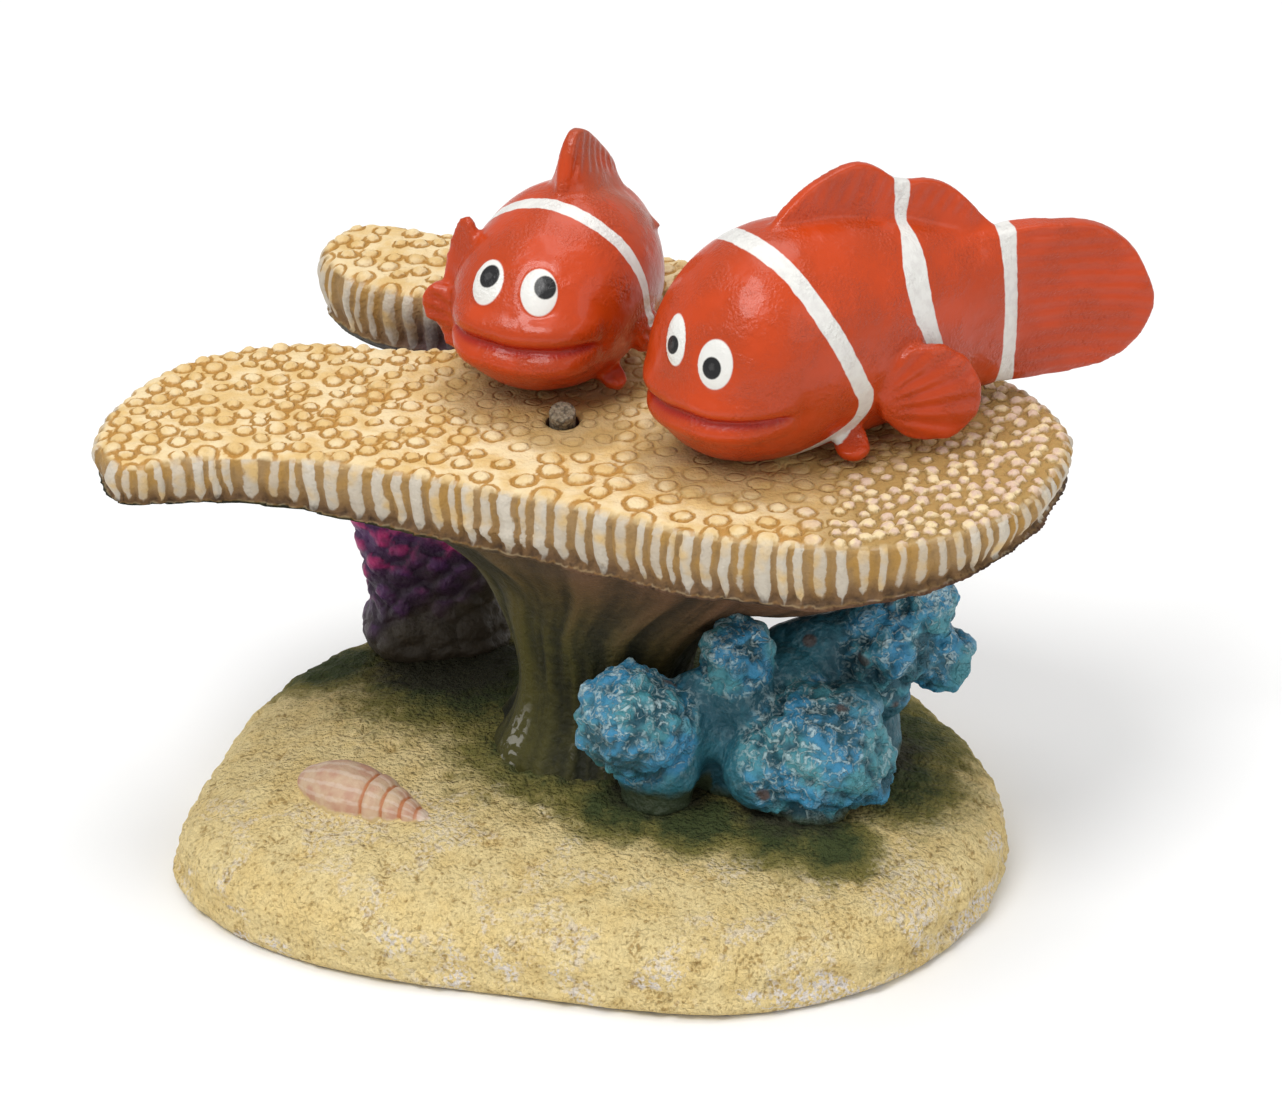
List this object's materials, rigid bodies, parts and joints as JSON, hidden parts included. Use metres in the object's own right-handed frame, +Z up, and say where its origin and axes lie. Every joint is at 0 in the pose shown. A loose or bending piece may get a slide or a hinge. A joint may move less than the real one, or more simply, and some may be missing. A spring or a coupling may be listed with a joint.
{
  "type": "aquarium bubbling ornament",
  "caption": "Aquarium air ornament: clownfish resting on a table coral over a sand mound, with blue and purple coral, a shell, a pull-out air stone and a rear airline nipple.",
  "frame": {"origin": "bottom centre of the whole ornament's box, on the surface it stands on", "axes": "+Z up, +X to the right as the fish are seen from the front, +Y to the back, where the airline nipple is"},
  "size_m": [0.1516, 0.114, 0.1061],
  "materials": {
    "sand_resin": "matte painted resin with sand grain",
    "coral_resin": "matte painted resin, white on the ribs",
    "fish_paint": "glossy orange-red paint with white bands",
    "blue_coral": "satin blue paint, white on the ridges",
    "purple_coral": "satin purple and magenta paint",
    "shell_paint": "satin pinkish cream with brown bands",
    "pin_rod": "plain drawn rod",
    "clear_tube": "clear rigid plastic",
    "soft_hose": "soft translucent silicone",
    "seal_rubber": "matte black rubber",
    "air_stone": "grey fused mineral grit"
  },
  "bodies": {
    "ornament": {"sand_base": "sand_resin", "table_coral": "coral_resin", "large_clownfish": "fish_paint", "small_clownfish": "fish_paint", "large_fish_pins": "pin_rod", "small_fish_pins": "pin_rod", "blue_coral_left": "blue_coral", "blue_coral_middle": "blue_coral", "blue_coral_front": "blue_coral", "blue_coral_right": "blue_coral", "purple_coral": "purple_coral", "spiral_shell": "shell_paint", "riser_tube": "clear_tube", "air_hose": "soft_hose", "inlet_nipple": "clear_tube", "inlet_seal": "seal_rubber"},
    "diffuser": {"diffuser_stone": "air_stone", "diffuser_stem": "clear_tube"}
  },
  "joints": [
    {"name": "stone_pull", "type": "slide", "parent": "ornament", "child": "diffuser", "axis": [0, -0.4695, 0.8829], "range_m": [0, 0.014]}
  ]
}
